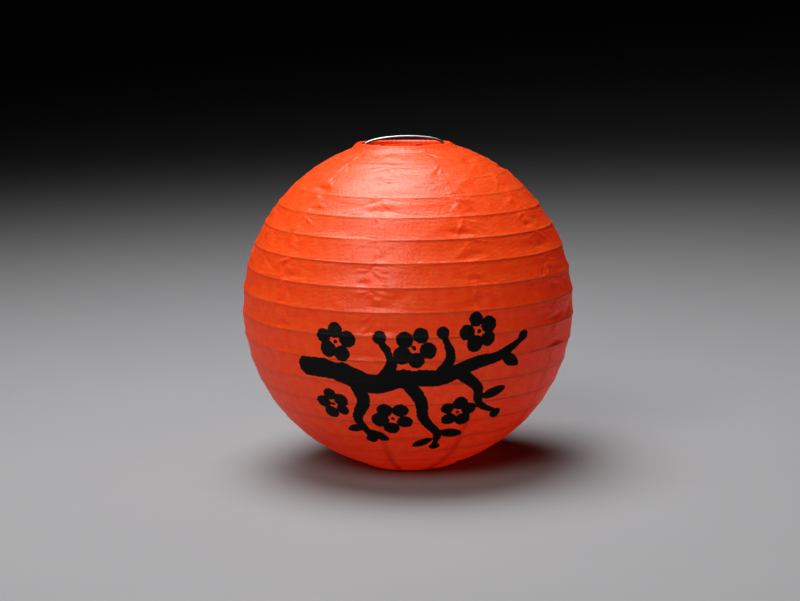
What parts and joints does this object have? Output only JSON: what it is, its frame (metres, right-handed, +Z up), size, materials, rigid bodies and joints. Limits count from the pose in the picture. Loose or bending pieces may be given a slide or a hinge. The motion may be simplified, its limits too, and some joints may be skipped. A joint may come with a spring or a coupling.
{
  "type": "round paper lantern",
  "caption": "Collapsible round lantern of red tissue paper over a spiral wire rib, open at both ends, held open by a bent wire expander.",
  "frame": {"origin": "centre of the lantern's underside, in the plane that the bottom hem stands on", "axes": "+Z up along the lantern's axis; the expander's flat wire loop lies in the XZ plane; -Y is the front, with the painted motif"},
  "size_m": [0.1998, 0.1998, 0.2],
  "materials": {
    "tissue_paper": "satin, translucent, with a black brush-painted motif",
    "hem_paper": "satin, two layers",
    "rib_wire": "drawn",
    "frame_wire": "galvanised"
  },
  "bodies": {
    "base": {"paper_gore_01": "tissue_paper", "paper_gore_02": "tissue_paper", "paper_gore_03": "tissue_paper", "paper_gore_04": "tissue_paper", "paper_gore_05": "tissue_paper", "paper_gore_06": "tissue_paper", "paper_gore_07": "tissue_paper", "paper_gore_08": "tissue_paper", "paper_gore_09": "tissue_paper", "paper_gore_10": "tissue_paper", "spiral_rib": "rib_wire", "bottom_ring": "frame_wire", "bottom_hem": "hem_paper"},
    "top_rim": {"top_ring": "frame_wire", "top_hem": "hem_paper"},
    "expander": {"expander_frame": "frame_wire"}
  },
  "joints": [
    {"name": "globe_collapse", "type": "slide", "parent": "base", "child": "top_rim", "axis": [0, 0, -1], "range_m": [0, 0.165], "deforming": ["paper_gore_01", "paper_gore_02", "paper_gore_03", "paper_gore_04", "paper_gore_05", "paper_gore_06", "paper_gore_07", "paper_gore_08", "paper_gore_09", "paper_gore_10", "spiral_rib"]},
    {"name": "expander_lift", "type": "slide", "parent": "base", "child": "expander", "axis": [0, 0, 1], "range_m": [0, 0.2]}
  ]
}
